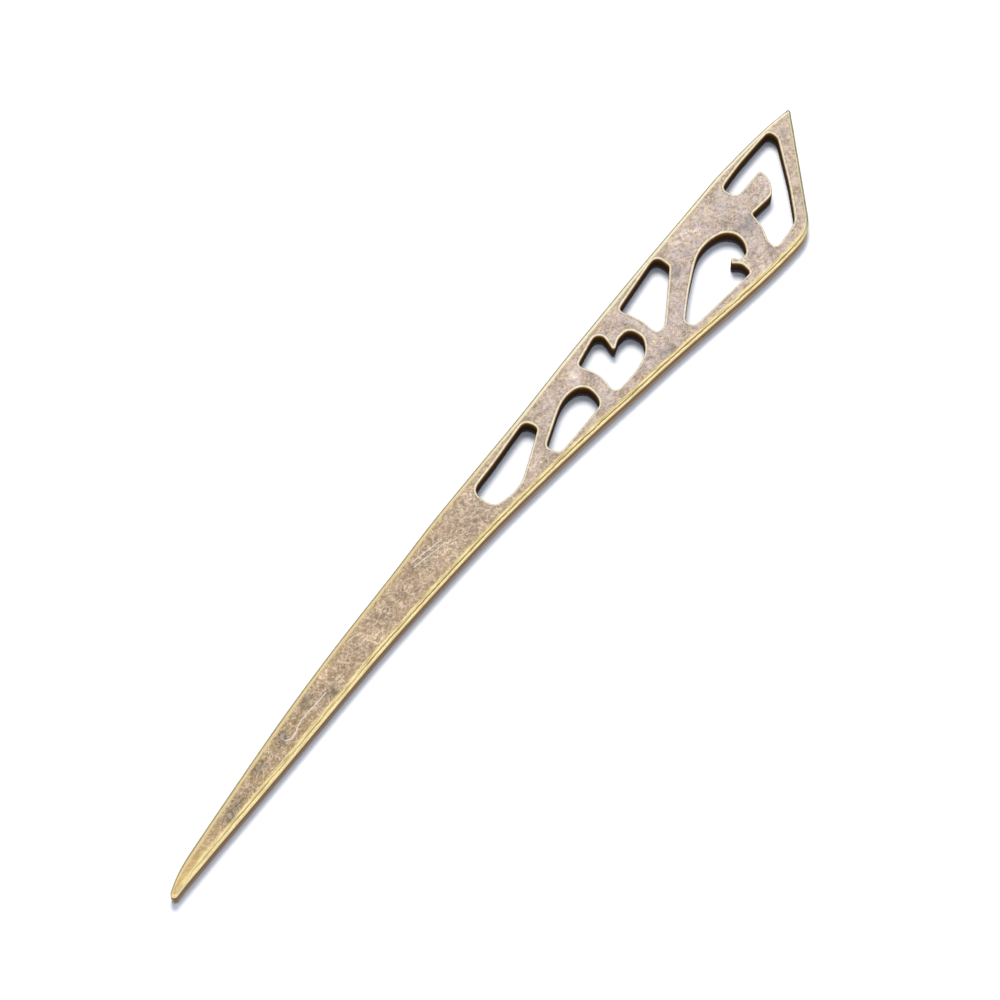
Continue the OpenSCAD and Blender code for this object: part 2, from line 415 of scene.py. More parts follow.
# %% One sheet of triangles
ALL_TRIANGLES = 0    # the triangle finder's mode; it keeps the border's edges
EXACT = 1e-7         # mm within which the triangle finder takes two points as one


def apart(fixed, candidates):
    """Candidates that keep their distance from the fixed points and from each other."""
    cells = {}
    for x, y in fixed:
        cells.setdefault((x // CLOSEST, y // CLOSEST), []).append((x, y))
    kept = []
    for x, y in candidates:
        column, rank = x // CLOSEST, y // CLOSEST
        around = [p for i in (-1, 0, 1) for j in (-1, 0, 1) for p in cells.get((column + i, rank + j), ())]
        if all((x - a) ** 2 + (y - b) ** 2 > CLOSEST ** 2 for a, b in around):
            cells.setdefault((column, rank), []).append((x, y))
            kept.append((x, y))
    return np.array(kept)


print("any two points are", CLOSEST, "mm apart or more")

# %% [markdown]
# ## Metal or opening
# The openings of the real stick are bare air, so no triangle may cover them. They
# could be cut out later, but that would leave ragged edges. It is surer to ask of each
# triangle's middle how many border edges lie to the right of it: an odd number means
# that it is in the metal.

# %% Triangle finder
def within(places, borders):
    """Which places lie between the borders: an odd number of crossings on the way right."""
    x, y = places.T
    crossed = np.zeros(len(places), dtype=bool)
    for loop in borders:
        for (ax, ay), (bx, by) in zip(loop, np.roll(loop, -1, axis=0)):
            level = (ay > y) != (by > y)
            crossed ^= level & (x < ax + (bx - ax) * (y - ay) / (by - ay or 1.0))
    return crossed


def triangles(borders, inside):
    """Places and triangles of a flat sheet between closed borders, whose points come first."""
    border = np.concatenate(borders)
    places = np.concatenate([border, apart(border, inside)])
    edges = []
    for loop in borders:
        first = len(edges)
        edges += [(first + i, first + (i + 1) % len(loop)) for i in range(len(loop))]
    points = [Vector(place) for place in places]
    found = delaunay_2d_cdt(points, edges, [], ALL_TRIANGLES, EXACT, True)
    crossings = [tuple(found[0][i]) for i, ids in enumerate(found[3]) if not ids]
    if crossings:
        raise ValueError(f"the border crosses itself near {crossings[:5]}")
    source = np.array([ids[0] for ids in found[3]])
    faces = source[np.array(found[2])]
    middles = places[faces].mean(axis=1)
    return places, faces[within(middles, borders)].tolist()


print("border edges", sum(len(item["foot"]) for item in lips))

# %% [markdown]
# ## Front and back
# The real plate has two faces, a dressed front and a plain back. The back could be a
# copy of the front, but nothing on it needs so many points. It gets its own border,
# just inside its radius, and a coarser grid.

# %% Two sheets
front = triangles([item["place"] for item in lips], np.concatenate(rows))
back_edge = [item["foot"] + item["inward"] * item["back_radius"][:, None] for item in lips]
back = triangles(back_edge, grid(BACK_GRID, BACK_MARGIN, BACK_MARGIN))
print("front", len(front[0]), "points", len(front[1]), "triangles; back", len(back[0]), len(back[1]))

# %% [markdown]
# ## The sheet and what its points know
# Both sheets go into one mesh, and each point carries what the next step needs: how
# far the nearest edge is, and on a lip also where the wall stands and how tightly the
# metal rolls over. Attributes keep these numbers on the points, so the tree and the
# material can read them by name.

# %% Sheet mesh
def edge_numbers(places):
    """Distances to the edges and the bevel's width, in mm, and which way the edge looks."""
    return {
        "edge_mm": outer.gap(places),
        "rim_mm": pierced.gap(places),
        "bevel_mm": bevel_width(places),
        "straight_side": outer.faces(places, (0, 1)),
        "slanted_side": outer.faces(places, (1, 0)),
    }


print("each point knows", list(edge_numbers(outline[:1])))

# %% [markdown]
# ## Numbers on the points
# The real metal is one sheet with no labels on it. The numbers could stay in Python
# lists, but a tree and a material can't read those. So the two faces become one mesh,
# and every number is stored on its points under a name.

# %% Front and back in one mesh
def stored(mesh, name, values):
    values = np.asarray(values, dtype=float)
    kind = "FLOAT_VECTOR" if values.ndim > 1 else "FLOAT"
    field = "vector" if values.ndim > 1 else "value"
    layer = mesh.attributes.new(name, kind, "POINT")
    layer.data.foreach_set(field, values.ravel())


def flat(values):
    return np.column_stack([values, np.zeros(len(values))])


(front_places, front_faces), (back_places, back_faces) = front, back
shift = len(front_places)
places = np.concatenate([front_places, back_places])
faces = front_faces + [[shift + i for i in reversed(face)] for face in back_faces]
sheet = bpy.data.meshes.new("sheet")
sheet.from_pydata(flat(places * MM), [], faces)
for name, values in edge_numbers(places).items():
    stored(sheet, name, values)
stored(sheet, "is_back", np.arange(len(places)) >= shift)

lip_count = sum(len(item["foot"]) for item in lips)
for name in ("foot", "inward", "radius", "turn", "back_radius"):
    values = np.concatenate([item[name] for item in lips])
    values = flat(values * MM) if name == "foot" else flat(values) if name == "inward" else values
    values = values * MM if "radius" in name else values
    every = np.zeros((len(places),) + values.shape[1:])
    every[:lip_count] = values
    stored(sheet, name, every)
print("sheet", len(sheet.vertices), "points,", [a.name for a in sheet.attributes if not a.is_internal])

# %% [markdown]
# ## Raising the metal
# The section of the stick is one rule all the way round: flat face, bevel, a small
# roll, an upright wall, another roll, plain back. It could be modelled loop by loop,
# but as a node tree the rule is written once and follows the outline and the six
# openings alike. Extrude Mesh adds one ring after another, and Set Position puts each
# ring at its angle of the roll.

# %% Helpers for trees
def socket(items, name):
    """The socket of that name that is in use."""
    return next(s for s in items if s.name == name and s.enabled)


def add(tree, kind, settings=None, **inputs):
    """A node with its settings, and its inputs set or linked by name."""
    node = tree.nodes.new(kind)
    for name, value in (settings or {}).items():
        setattr(node, name, value)
    for name, value in inputs.items():
        plug(tree, socket(node.inputs, name.replace("_", " ")), value)
    return node


def plug(tree, target, value):
    if isinstance(value, bpy.types.NodeSocket):
        tree.links.new(value, target)
    elif isinstance(value, bpy.types.Node):
        tree.links.new(next(s for s in value.outputs if s.enabled), target)
    else:
        target.default_value = value


print("nodes can be added and linked")

# %% [markdown]
# ## Sums in a tree
# The rules of the real section are sums, sines and distances. Each takes a node in a
# tree, and a node takes four lines of script, so a long sum would fill a page. With
# these helpers one sum is one line, and its name says what it stands for.

# %% Helpers for sums and groups
def math_node(tree, operation, *values, clamp=False):
    node = tree.nodes.new("ShaderNodeMath")
    node.operation = operation
    node.use_clamp = clamp
    for target, value in zip(node.inputs, values):
        plug(tree, target, value)
    return node.outputs[0]


def vector_math(tree, operation, *values, scale=None):
    node = tree.nodes.new("ShaderNodeVectorMath")
    node.operation = operation
    for target, value in zip(node.inputs, values):
        plug(tree, target, value)
    if scale is not None:
        plug(tree, socket(node.inputs, "Scale"), scale)
    return next(s for s in node.outputs if s.enabled)


def new_tree(name, kind, inputs, outputs):
    tree = bpy.data.node_groups.new(name, kind)
    for title, socket_kind in inputs.items():
        tree.interface.new_socket(title, in_out="INPUT", socket_type="NodeSocket" + socket_kind)
    for title, socket_kind in outputs.items():
        tree.interface.new_socket(title, in_out="OUTPUT", socket_type="NodeSocket" + socket_kind)
    return tree, tree.nodes.new("NodeGroupInput").outputs, tree.nodes.new("NodeGroupOutput").inputs


def named(tree, name, kind="FLOAT"):
    """What the points carry under that name."""
    node = add(tree, "GeometryNodeInputNamedAttribute", {"data_type": kind}, Name=name)
    return socket(node.outputs, "Attribute")


print("helpers ready")

# %% [markdown]
# ## One ring of the roll
# Cut through, the rolled edge of the real stick is an arc. It could be swept from a
# profile curve, but a sweep keeps one radius all the way. This small tree turns an
# angle and a radius into a place on the arc, so each ring of points can ask for its
# own, over the front edge and round the back edge alike.

# %% Tree: where a ring of the roll lies
roll, given, out = new_tree(
    "roll point", "GeometryNodeTree",
    {"Radius": "Float", "Angle": "Float", "Centre Height": "Float"}, {"Position": "Vector"},
)
reach = math_node(roll, "SUBTRACT", 1.0, math_node(roll, "COSINE", given["Angle"]))
reach = math_node(roll, "MULTIPLY", reach, given["Radius"])
sideways = vector_math(roll, "SCALE", named(roll, "inward", "FLOAT_VECTOR"), scale=reach)
across = vector_math(roll, "ADD", named(roll, "foot", "FLOAT_VECTOR"), sideways)
rise = math_node(roll, "MULTIPLY", math_node(roll, "SINE", given["Angle"]), given["Radius"])
rise = math_node(roll, "ADD", rise, given["Centre Height"])
upward = add(roll, "ShaderNodeCombineXYZ", Z=rise)
roll.links.new(vector_math(roll, "ADD", across, upward.outputs[0]), out["Position"])
print("roll point has", len(roll.nodes), "nodes")

# %% [markdown]
# ## Height of the front face
# The real front falls away at the bevel, along a line that wear has softened, and its
# flats aren't quite flat. Moving points by hand would give neither evenly. The tree
# works the height out from the distance to the edge: level, then a soft crease, then
# a straight slope, less a shallow noise.

# %% Tree: height of the front face
CREASE = 0.12    # how soft the line between face and bevel is, as a share of the bevel
face_tree, given, out = new_tree(
    "face height", "GeometryNodeTree",
    {"Thickness": "Float", "Bevel Drop": "Float", "Brow Radius": "Float", "Unevenness": "Float",
     "Wave Length": "Float", "Seed": "Float"},
    {"Height": "Float"},
)
edge = math_node(face_tree, "MULTIPLY", named(face_tree, "edge_mm"), MM)
width = math_node(face_tree, "MULTIPLY", named(face_tree, "bevel_mm"), MM)
lip_inset = math_node(face_tree, "MULTIPLY", given["Brow Radius"], 1 - math.cos(BROW_TURN))
lip_sink = math_node(face_tree, "MULTIPLY", given["Brow Radius"], 1 - math.sin(BROW_TURN))
full_drop = math_node(face_tree, "ADD", given["Bevel Drop"], lip_sink)
outward = math_node(face_tree, "SUBTRACT", width, edge)
outward = math_node(face_tree, "DIVIDE", outward, math_node(face_tree, "SUBTRACT", width, lip_inset))
soft = math_node(face_tree, "SQRT", math_node(face_tree, "MULTIPLY_ADD", outward, outward, CREASE ** 2))
share = math_node(face_tree, "MULTIPLY", math_node(face_tree, "ADD", outward, soft), 0.5)
share = math_node(face_tree, "MINIMUM", share, 1.0)
fall = math_node(face_tree, "MULTIPLY", share, full_drop)
scaled = vector_math(face_tree, "DIVIDE", add(face_tree, "GeometryNodeInputPosition").outputs[0],
                     add(face_tree, "ShaderNodeCombineXYZ", X=given["Wave Length"], Y=given["Wave Length"],
                         Z=given["Wave Length"]).outputs[0])
waves = add(face_tree, "ShaderNodeTexNoise", {"noise_dimensions": "4D"}, Vector=scaled, W=given["Seed"],
            Scale=1.0, Detail=2.0)
dip = math_node(face_tree, "MULTIPLY", waves.outputs[0], given["Unevenness"])
height = math_node(face_tree, "SUBTRACT", math_node(face_tree, "SUBTRACT", given["Thickness"], fall), dip)
face_tree.links.new(height, out["Height"])
print("face height has", len(face_tree.nodes), "nodes")

# %% [markdown]
# ## The cast plate
# The real plate came out of its mould in one piece. Front, walls and back could be
# separate meshes, but they would meet in visible seams. The tree lifts the front
# sheet, extrudes its border ring by ring over the edge, down the wall and round the
# back, and welds the last ring to the sheet of the back.

# %% Tree: cast plate
ROLL_STEPS = 5     # rings over the front edge
BACK_STEPS = 3     # rings round the back edge
WELD = SAME_PLACE / 4    # points nearer than this become one
plate_sizes = {
    "Thickness": thickness,
    "Bevel Drop": BEVEL_DROP,
    "Brow Radius": BROW_R,
    "Back Radius": BACK_R,
    "Unevenness": 0.02 * MM,
    "Wave Length": 5.0 * MM,
    "Seed": 4.0,
}
plate, given, out = new_tree(
    "cast plate", "GeometryNodeTree",
    {"Geometry": "Geometry", **{name: "Float" for name in plate_sizes}, "Material": "Material"},
    {"Geometry": "Geometry"},
)


def group(tree, inner, **inputs):
    node = tree.nodes.new("GeometryNodeGroup" if tree.bl_idname == "GeometryNodeTree" else "ShaderNodeGroup")
    node.node_tree = inner
    for name, value in inputs.items():
        plug(tree, node.inputs[name.replace("_", " ")], value)
    return node


is_front = math_node(plate, "LESS_THAN", named(plate, "is_back"), 0.5)
face_height = group(plate, face_tree, **{name.replace(" ", "_"): given[name] for name in (
    "Thickness", "Bevel Drop", "Brow Radius", "Unevenness", "Wave Length", "Seed")})
raised = add(plate, "GeometryNodeSetPosition", Geometry=given["Geometry"], Selection=is_front,
             Offset=add(plate, "ShaderNodeCombineXYZ", Z=face_height.outputs[0]).outputs[0])
position = add(plate, "GeometryNodeInputPosition").outputs[0]
height = add(plate, "ShaderNodeSeparateXYZ", Vector=position).outputs["Z"]
kept = add(plate, "GeometryNodeStoreNamedAttribute", {"data_type": "FLOAT", "domain": "POINT"},
           Geometry=raised.outputs[0], Name="lip_height", Value=height)

print("cast plate lifts the front,", len(plate.nodes), "nodes so far")

# %% [markdown]
# ## Rings down the wall
# Between the real front and back the metal turns twice and stands upright once. Loops
# drawn for each would have to match point by point. Extruding the border keeps the
# match by itself: each ring grows out of the one before and is then put in its place.

# %% Tree: rings of the plate
turn = named(plate, "turn")
radius = named(plate, "radius")
back_radius = named(plate, "back_radius")
lip_height = named(plate, "lip_height")
turned_up = math_node(plate, "MULTIPLY", math_node(plate, "SINE", turn), radius)
centre = math_node(plate, "SUBTRACT", lip_height, turned_up)
on_border = add(plate, "FunctionNodeCompare", {"data_type": "INT", "operation": "EQUAL"},
                A=add(plate, "GeometryNodeInputMeshEdgeNeighbors").outputs[0], B=1)
start_edges = add(plate, "FunctionNodeBooleanMath", {"operation": "AND"})
plug(plate, start_edges.inputs[0], on_border)
plug(plate, start_edges.inputs[1], is_front)
rings = []
for k in range(1, ROLL_STEPS + 1):
    rings.append((radius, math_node(plate, "MULTIPLY", turn, 1 - k / ROLL_STEPS), centre))
for k in range(BACK_STEPS + 1):
    rings.append((back_radius, -math.pi / 2 * k / BACK_STEPS, back_radius))
mesh_so_far, newest = kept.outputs[0], start_edges.outputs[0]
for ring_radius, angle, ring_centre in rings:
    extruded = add(plate, "GeometryNodeExtrudeMesh", {"mode": "EDGES"}, Mesh=mesh_so_far, Selection=newest,
                   Offset_Scale=0.0)
    spot = group(plate, roll, Radius=ring_radius, Angle=angle, Centre_Height=ring_centre)
    placed = add(plate, "GeometryNodeSetPosition", Geometry=extruded.outputs["Mesh"],
                 Selection=extruded.outputs["Top"], Position=spot.outputs[0])
    mesh_so_far, newest = placed.outputs[0], extruded.outputs["Top"]

print("rings", len(rings))

# %% [markdown]
# ## Closing the plate
# Real metal has no gap between wall and back. The last ring lies exactly on the border
# of the back, but its points are still doubles. Merging by distance welds them, and
# before that each point notes how deep it lies, which the colours need.

# %% Tree: closing the plate
depth = math_node(plate, "DIVIDE", math_node(plate, "SUBTRACT", lip_height, height), MM)
deep = add(plate, "GeometryNodeStoreNamedAttribute", {"data_type": "FLOAT", "domain": "POINT"},
           Geometry=mesh_so_far, Name="depth_mm", Value=depth)
welded = add(plate, "GeometryNodeMergeByDistance", Geometry=deep.outputs[0], Distance=WELD)
smooth = add(plate, "GeometryNodeSetShadeSmooth", Geometry=welded.outputs[0])
real = add(plate, "GeometryNodeRealizeInstances", Geometry=smooth.outputs[0])
finished = add(plate, "GeometryNodeSetMaterial", Geometry=real.outputs[0], Material=given["Material"])
plate.links.new(finished.outputs[0], out["Geometry"])
print("cast plate has", len(plate.nodes), "nodes")

# %% [markdown]
# ## Antiqued brass
# The real finish starts as bright brass, is darkened all over, and is then rubbed
# back, so gold shows wherever a hand or a wheel can reach: on the bevel, on the rims
# and in a haze beside them. The flats stay a pinkish grey-brown, and the walls of the
# openings are almost black. A picture could carry all this, but the same distances
# that shaped the bevel can also say where the metal is rubbed, and where highlights,
# dark reflections and shadows are painted on the edges and the walls.
#
# The stains come first. On the real stick they are cloudy, with soft borders, in many
# sizes. A noise cut between two levels gives just that, so one small group with a size
# and two levels makes the large stains and the smallest pits.

# %% Group: mottle
PLACE = {"Vector": "Vector"}
mottle, given, out = new_tree(
    "mottle", "ShaderNodeTree", {**PLACE, "Size": "Float", "Low": "Float", "High": "Float"},
    {"Mask": "Float"},
)


def smooth_step(tree, value, start, stop, first=0.0, last=1.0):
    """One number up to start, the other from stop on, smooth between."""
    return add(tree, "ShaderNodeMapRange", {"interpolation_type": "SMOOTHSTEP"}, Value=value,
               From_Min=start, From_Max=stop, To_Min=first, To_Max=last).outputs[0]


finer = vector_math(mottle, "SCALE", given["Vector"], scale=math_node(mottle, "DIVIDE", 1.0, given["Size"]))
cloud = add(mottle, "ShaderNodeTexNoise", Vector=finer, Scale=1.0, Detail=4.0, Roughness=0.65)
mottle.links.new(smooth_step(mottle, cloud.outputs[0], given["Low"], given["High"]), out["Mask"])
print("mottle has", len(mottle.nodes), "nodes")

# %% [markdown]
# ## Fine scratches
# Handling leaves hair-thin scratches that run in short runs, more in one place than
# in another. Drawn one by one they would be thousands of strokes. A noise that is
# stretched one way passes its middle value along long thin paths, and those paths
# look like scratches and cost nothing. A second, coarser noise leaves gaps in them.

# %% Group: hairlines
GAPS_PER_MM = 0.72
GAP_BAND = (0.42, 0.62)    # noise values of bare metal and of scratched metal
hairlines, given, out = new_tree(
    "hairlines", "ShaderNodeTree",
    {**PLACE, "Length": "Float", "Spacing": "Float", "Angle": "Float", "Thinness": "Float"},
    {"Mask": "Float"},
)
turned = add(hairlines, "ShaderNodeVectorRotate", {"rotation_type": "Z_AXIS"}, Vector=given["Vector"],
             Angle=given["Angle"])
stretch = add(hairlines, "ShaderNodeCombineXYZ", X=given["Length"], Y=given["Spacing"], Z=given["Spacing"])
stretched = vector_math(hairlines, "DIVIDE", turned.outputs[0], stretch.outputs[0])
streak = add(hairlines, "ShaderNodeTexNoise", Vector=stretched, Scale=1.0, Detail=1.0, Roughness=0.4)
off_middle = math_node(hairlines, "ABSOLUTE", math_node(hairlines, "SUBTRACT", streak.outputs[0], 0.5))
line = smooth_step(hairlines, off_middle, 0.0, given["Thinness"], 1.0, 0.0)
gaps = add(hairlines, "ShaderNodeTexNoise", Vector=given["Vector"], Scale=GAPS_PER_MM, Detail=2.0)
some = smooth_step(hairlines, gaps.outputs[0], *GAP_BAND)
hairlines.links.new(math_node(hairlines, "MULTIPLY", line, some), out["Mask"])
print("hairlines have", len(hairlines.nodes), "nodes")

# %% [markdown]
# ## Brushed streaks
# The bevel of the real stick was dressed lengthwise, so its gold is streaky along the
# edge. A straight noise would run out of the curved edge. Read by the place along the
# stick and by the distance from the edge, the same noise follows the bow by itself.

# %% Group: streaks along an edge
STREAK_BAND = (0.34, 0.62)    # noise values of worn gold and of full gold
streaks, given, out = new_tree(
    "streaks", "ShaderNodeTree",
    {**PLACE, "Edge Distance": "Float", "Length": "Float", "Width": "Float"}, {"Mask": "Float"},
)
place_along = add(streaks, "ShaderNodeSeparateXYZ", Vector=given["Vector"]).outputs["X"]
lengthwise = math_node(streaks, "DIVIDE", place_along, given["Length"])
beside = math_node(streaks, "DIVIDE", given["Edge Distance"], given["Width"])
brush_place = add(streaks, "ShaderNodeCombineXYZ", X=lengthwise, Y=beside)
brushed = add(streaks, "ShaderNodeTexNoise", Vector=brush_place, Scale=1.0, Detail=3.0, Roughness=0.6)
streaks.links.new(smooth_step(streaks, brushed.outputs[0], *STREAK_BAND), out["Mask"])
print("streaks have", len(streaks.nodes), "nodes")

# %% [markdown]
# ## A single stroke
# Some scratches and stains of the real stick stand alone. They could be thin pieces
# of mesh on the face, but a scratch is only a change of the metal. So the group
# measures how far a spot is from the line between two points: the nearest point of
# the line comes from two dot products, and the stroke fades over its width.

# %% Group: one stroke
stroke, given, out = new_tree(
    "stroke", "ShaderNodeTree", {**PLACE, "Start": "Vector", "End": "Vector", "Width": "Float"},
    {"Mask": "Float"},
)
leg = vector_math(stroke, "SUBTRACT", given["End"], given["Start"])
arm = vector_math(stroke, "SUBTRACT", given["Vector"], given["Start"])
along = math_node(stroke, "DIVIDE", vector_math(stroke, "DOT_PRODUCT", arm, leg),
                  vector_math(stroke, "DOT_PRODUCT", leg, leg), clamp=True)
off = vector_math(stroke, "SUBTRACT", arm, vector_math(stroke, "SCALE", leg, scale=along))
distance = vector_math(stroke, "LENGTH", off)
stroke.links.new(smooth_step(stroke, distance, 0.0, given["Width"], 1.0, 0.0), out["Mask"])
print("stroke has", len(stroke.nodes), "nodes")

# %% [markdown]
# ## Where the metal is rubbed, and where light is painted
# The polishing wheel reached the bevel, a thin ridge at the very edge and the rims of
# the openings. On the ridge and the rims a painted highlight lies over the gold, and a
# painted dark reflection runs in a line between ridge and bevel, along the far edge and
# beside each rim. Masks painted by hand would have to be painted again after each change
# of the outline. Here each mask is a band of distances, and a little noise makes the
# borders ragged.

# %% Bands of wear
# The ridge and rim bands carry a painted highlight; the dark line inside the ridge, the far outline and the
# rim shade are painted dark reflections.
RIDGE_BAND = (0.20, 0.26)           # mm from the outline: full, and gone
DARK_LINE_BAND = (0.32, 0.40)
OUTLINE_BAND = (0.20, 0.32)         # the dark line on the far side
BEVEL_BAND = (-0.10, 0.04)          # mm past the bevel's width
EDGE_HAZE_BAND = (-0.20, 1.00)
RIM_BAND = (0.20, 0.30)             # mm from an opening
RIM_SHADE_BAND = (0.32, 0.46)
RIM_HAZE_BAND = (0.15, 0.60)
RIM_HAZE = 0.5                      # how strong the haze beside a rim is
WALL_BAND = (0.08, 0.20)            # mm below the lip
PIERCED_WALL_BAND = (0.06, 0.20)
print("bevel's band", BEVEL_BAND, "mm, rim's band", RIM_BAND, "mm")

# %% [markdown]
# ## From bands to masks
# On the real stick the near edge has a ridge with a painted highlight and a painted dark
# reflection just inside it, and the far one only a painted dark line. Two groups would say
# much the same twice. One group makes every band and then keeps each to its own side.

# %% Group: rubbed and shaded bands
rubbed_and_shaded, given, out = new_tree(
    "rubbed_and_shaded", "ShaderNodeTree",
    {"Edge Distance": "Float", "Rim Distance": "Float", "Bevel Width": "Float", "Depth": "Float",
     "Raggedness": "Float", "Far Side": "Float"},
    {"Bevel": "Float", "Dark Line": "Float", "Ridge": "Float", "Outline": "Float", "Rim": "Float",
     "Rim Shade": "Float", "Haze": "Float", "Wall": "Float", "Pierced Wall": "Float"},
)


def near(value, band):
    """1 up to the band's start, 0 past its end."""
    return smooth_step(rubbed_and_shaded, value, *band, 1.0, 0.0)


def past(value, band):
    """0 up to the band's start, 1 past its end."""
    return smooth_step(rubbed_and_shaded, value, *band)


ragged_edge = math_node(rubbed_and_shaded, "MULTIPLY_ADD", given["Raggedness"], 0.5, given["Edge Distance"])
ragged_rim = math_node(rubbed_and_shaded, "MULTIPLY_ADD", given["Raggedness"], 0.5, given["Rim Distance"])
past_bevel = math_node(rubbed_and_shaded, "SUBTRACT", given["Edge Distance"], given["Bevel Width"])
past_bevel = math_node(rubbed_and_shaded, "ADD", past_bevel, given["Raggedness"])
at_opening = math_node(rubbed_and_shaded, "LESS_THAN", given["Rim Distance"], given["Edge Distance"])
at_outline = math_node(rubbed_and_shaded, "SUBTRACT", 1.0, at_opening)
near_side = math_node(rubbed_and_shaded, "SUBTRACT", at_outline, given["Far Side"], clamp=True)
pierced_wall = math_node(rubbed_and_shaded, "MULTIPLY", past(given["Depth"], PIERCED_WALL_BAND), at_opening)
ridge = near(ragged_edge, RIDGE_BAND)
rim = near(ragged_rim, RIM_BAND)
rim_haze = math_node(rubbed_and_shaded, "MULTIPLY", near(ragged_rim, RIM_HAZE_BAND), RIM_HAZE)
# the dark line inside the ridge, the outline and the rim shade are painted dark reflections; the ridge and
# the rims carry a painted highlight
masks = {
    "Bevel": near(past_bevel, BEVEL_BAND),
    "Dark Line": math_node(rubbed_and_shaded, "MULTIPLY", math_node(
        rubbed_and_shaded, "SUBTRACT", near(ragged_edge, DARK_LINE_BAND), ridge), near_side),
    "Ridge": math_node(rubbed_and_shaded, "MULTIPLY", ridge, near_side),
    "Outline": math_node(rubbed_and_shaded, "MULTIPLY", near(ragged_edge, OUTLINE_BAND), given["Far Side"]),
    "Rim": rim,
    "Rim Shade": math_node(rubbed_and_shaded, "SUBTRACT", near(ragged_rim, RIM_SHADE_BAND), rim),
    "Haze": math_node(rubbed_and_shaded, "MAXIMUM", near(past_bevel, EDGE_HAZE_BAND), rim_haze),
    "Wall": math_node(rubbed_and_shaded, "MAXIMUM", past(given["Depth"], WALL_BAND), pierced_wall),
    "Pierced Wall": pierced_wall,
}
for name, mask in masks.items():
    rubbed_and_shaded.links.new(mask, out[name])
print("rubbed gives", list(masks))

# %% [markdown]
# ## Marks of this very stick
# A few marks are large enough to know the stick by: a bent scratch on the shank, three
# straight ones, and stains and rubbed spots the size of a grain of rice. Noise can't
# put them where they are, so they are listed, in mm along and across the stick. The
# The scratches were read off the photo, and their pixels were turned into mm.
# Nearly all of the patches weren't chosen by eye: they lie where a script that
# compared the photo with an earlier render found the render too light or too dark.
# A bent scratch is a chain of strokes.

# %% Marks
SCRATCHES = [
    ([(-34.9, 4.83), (-37.4, 5.00), (-39.2, 5.14), (-40.2, 5.02), (-41.05, 4.70), (-41.95, 4.67),
      (-42.5, 5.15)], 0.11),
    ([(-32.35, 4.82), (-32.6, 3.80)], 0.07),
    ([(-15.55, 6.40), (-10.9, 5.22)], 0.09),
    ([(-15.8, 5.81), (-11.1, 4.62)], 0.09),
]
DARK_PATCHES = [
    ((-34.4, 4.2), (-34.9, 4.3), 1.2),
    ((-36.4, 6.1), (-37.6, 6.1), 1.1),
    ((-42.0, 5.7), (-43.0, 5.5), 1.2),
    ((-46.5, 5.7), (-47.5, 5.6), 1.2),
    ((-51.6, 5.0), (-54.2, 4.5), 1.1),
    ((25.6, -2.6), (26.4, -2.9), 1.4),
    ((46.4, -0.9), (47.4, -0.9), 1.7),
    ((35.8, 2.6), (36.4, 2.6), 1.3),
]
LIGHT_PATCHES = [
    ((-10.4, 3.8), (-13.6, 4.1), 1.2),
    ((-3.6, 5.9), (-4.4, 5.9), 1.3),
    ((-25.8, 3.9), (-26.7, 5.6), 1.3),
    ((-32.4, 6.3), (-33.2, 6.3), 1.1),
    ((3.4, 1.8), (4.2, 1.8), 1.2),
    ((15.7, 4.8), (16.4, 4.8), 1.3),
    ((26.0, -0.8), (26.4, -0.9), 1.3),
    ((42.4, 4.0), (39.6, 5.3), 1.3),
    ((42.7, -3.3), (43.0, -5.6), 1.5),
    ((52.8, 0.7), (53.5, 0.6), 1.5),
]
print("scratches", len(SCRATCHES), "dark patches", len(DARK_PATCHES), "light patches", len(LIGHT_PATCHES))

# %% [markdown]
# ## Reading the place on the metal
# The real metal looks different at the head, on the shank and at the tip, and on each
# side of the bevel. All of it could be separate materials, but their borders would
# show. One material reads where it is instead: Object coordinates give the place along
# the stick in mm, and the attributes of the sheet give the edges and the depth.

# %% Material
brass = bpy.data.materials.new("antiqued_brass")
brass.use_nodes = True
nodes = brass.node_tree
shader = nodes.nodes["Principled BSDF"]
shader.inputs["Specular IOR Level"].default_value = 0.0
spot = vector_math(nodes, "SCALE", add(nodes, "ShaderNodeTexCoord").outputs["Object"], scale=1 / MM)
place_along = add(nodes, "ShaderNodeSeparateXYZ", Vector=spot).outputs["X"]


def attribute(name):
    return add(nodes, "ShaderNodeAttribute", {"attribute_name": name}).outputs["Fac"]


def zone(start, stop):
    """0 at one place along the stick, in mm, 1 at the other, smooth between."""
    return smooth_step(nodes, place_along, start, stop)


def times(value, amount):
    return math_node(nodes, "MULTIPLY", value, amount)


print("material", brass.name, "reads", [a.name for a in sheet.attributes if a.name.endswith("_mm")])

# %% [markdown]
# ## The wear of this stick
# The wear on the real stick isn't even: the slanted end has a slimmer bright band than
# the long sides, and the lower shank has a softer brow. Separate groups would repeat
# the same bands. The one group takes its widths and depths as inputs, and a few sums
# adjust them by side and by place.

